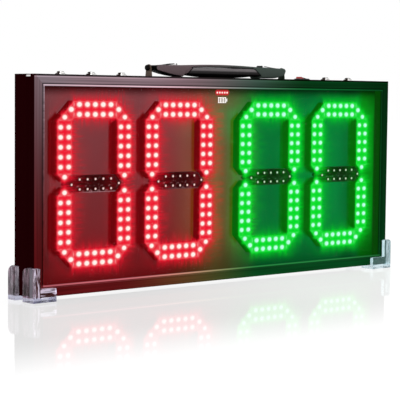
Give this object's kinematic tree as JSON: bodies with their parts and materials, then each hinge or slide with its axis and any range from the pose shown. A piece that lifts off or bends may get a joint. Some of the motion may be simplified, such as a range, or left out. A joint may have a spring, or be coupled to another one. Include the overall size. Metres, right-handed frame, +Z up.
{
  "type": "substitution board",
  "caption": "Flat LED substitution board in a dark aluminium frame, with red and green digits, push buttons, a rocker switch, a lifting top handle and clear corner guards",
  "frame": {"origin": "on the surface that the board stands on, below the middle of the board", "axes": "+X is the board's right seen from the front, +Y points to its back, +Z is up; the digits face -Y"},
  "size_m": [0.6676, 0.0564, 0.3067],
  "materials": {
    "dark_anodised_aluminium": "dark anodised, fine brushed lines along each length",
    "bare_aluminium": "bare, drawn",
    "smoked_clear_acrylic": "clear, faintly smoked, polished",
    "black_painted_sheet": "fine matt black paint",
    "red_led_block": "clear LED lenses on a dark block, lit red",
    "green_led_block": "clear LED lenses on a dark block, lit green",
    "black_moulded_plastic": "fine moulded grain",
    "blue_battery_wrap": "shrink wrap",
    "green_circuit_board": "solder mask",
    "black_lead_cover": "smooth",
    "polished_chrome": "polished plating",
    "nickel_plated_steel": "nickel plate",
    "red_moulded_plastic": "glossy moulded",
    "brown_coated_steel": "thin brown coat, worn at its edges",
    "soft_grip_rubber": "fine matt grain",
    "grey_moulded_plastic": "fine moulded grain",
    "clear_moulded_plastic": "clear, moulded, slightly milky at its edges"
  },
  "bodies": {
    "board": {"backplate": "black_painted_sheet", "battery_indicator": "black_moulded_plastic", "battery_pack": "blue_battery_wrap", "button_body_1": "polished_chrome", "button_body_2": "polished_chrome", "button_body_3": "polished_chrome", "button_body_4": "polished_chrome", "button_body_5": "polished_chrome", "button_nut_1": "nickel_plated_steel", "button_nut_2": "nickel_plated_steel", "button_nut_3": "nickel_plated_steel", "button_nut_4": "nickel_plated_steel", "button_nut_5": "nickel_plated_steel", "charge_socket": "black_moulded_plastic", "controller_board": "green_circuit_board", "corner_bracket_bottom_left": "bare_aluminium", "corner_bracket_bottom_right": "bare_aluminium", "corner_bracket_top_left": "bare_aluminium", "corner_bracket_top_right": "bare_aluminium", "corner_guard_back_left": "clear_moulded_plastic", "corner_guard_back_right": "clear_moulded_plastic", "corner_guard_front_left": "clear_moulded_plastic", "corner_guard_front_right": "clear_moulded_plastic", "cover_screw_1": "nickel_plated_steel", "cover_screw_2": "nickel_plated_steel", "cover_screw_3": "nickel_plated_steel", "cover_screw_4": "nickel_plated_steel", "cover_screw_5": "nickel_plated_steel", "cover_screw_6": "nickel_plated_steel", "cover_screw_7": "nickel_plated_steel", "cover_screw_8": "nickel_plated_steel", "digit_1": "red_led_block", "digit_2": "red_led_block", "digit_3": "green_led_block", "digit_4": "green_led_block", "frame_bottom": "dark_anodised_aluminium", "frame_left": "dark_anodised_aluminium", "frame_right": "dark_anodised_aluminium", "frame_top": "dark_anodised_aluminium", "front_panel": "smoked_clear_acrylic", "handle_bracket_left": "brown_coated_steel", "handle_bracket_right": "brown_coated_steel", "power_lead": "black_lead_cover", "rear_cover": "black_painted_sheet", "rocker_bezel": "black_moulded_plastic", "top_groove_strip": "bare_aluminium"},
    "button_cap_1": {"button_cap_1": "polished_chrome"},
    "button_cap_2": {"button_cap_2": "polished_chrome"},
    "button_cap_3": {"button_cap_3": "polished_chrome"},
    "button_cap_4": {"button_cap_4": "polished_chrome"},
    "button_cap_5": {"button_cap_5": "polished_chrome"},
    "rocker": {"rocker": "red_moulded_plastic"},
    "handle_grip": {"handle_grip": "soft_grip_rubber", "handle_rim": "grey_moulded_plastic"},
    "handle_end_left": {"handle_end_left": "grey_moulded_plastic", "handle_pin_left": "black_moulded_plastic"},
    "handle_end_right": {"handle_end_right": "grey_moulded_plastic", "handle_pin_right": "black_moulded_plastic"}
  },
  "joints": [
    {"name": "button_1_press", "type": "slide", "parent": "board", "child": "button_cap_1", "axis": [0, 0, -1], "range_m": [0, 0.0015], "stiffness_N_per_m": 600, "springref_m": -0.002},
    {"name": "button_2_press", "type": "slide", "parent": "board", "child": "button_cap_2", "axis": [0, 0, -1], "range_m": [0, 0.0015], "stiffness_N_per_m": 600, "springref_m": -0.002},
    {"name": "button_3_press", "type": "slide", "parent": "board", "child": "button_cap_3", "axis": [0, 0, -1], "range_m": [0, 0.0015], "stiffness_N_per_m": 600, "springref_m": -0.002},
    {"name": "button_4_press", "type": "slide", "parent": "board", "child": "button_cap_4", "axis": [0, 0, -1], "range_m": [0, 0.0015], "stiffness_N_per_m": 600, "springref_m": -0.002},
    {"name": "button_5_press", "type": "slide", "parent": "board", "child": "button_cap_5", "axis": [0, 0, -1], "range_m": [0, 0.0015], "stiffness_N_per_m": 600, "springref_m": -0.002},
    {"name": "power_switch", "type": "hinge", "parent": "board", "child": "rocker", "pos_m": [0.169, 0.00655, 0.2857], "axis": [0, -1, 0], "range_deg": [0, 22]},
    {"name": "handle_lift", "type": "slide", "parent": "board", "child": "handle_grip", "axis": [0, 0, 1], "range_m": [0, 0.02]},
    {"name": "handle_end_left_turn", "type": "hinge", "parent": "handle_grip", "child": "handle_end_left", "pos_m": [-0.0563, 0.00375, 0.2839], "axis": [0, -1, 0], "range_deg": [0, 17.5]},
    {"name": "handle_end_right_turn", "type": "hinge", "parent": "handle_grip", "child": "handle_end_right", "pos_m": [0.0563, 0.00375, 0.2839], "axis": [0, 1, 0], "range_deg": [0, 17.5]}
  ],
  "couplings": [
    {"joint": "handle_end_left_turn", "follows": "handle_lift", "rad_per_m": 14.79},
    {"joint": "handle_end_right_turn", "follows": "handle_lift", "rad_per_m": 14.79}
  ]
}
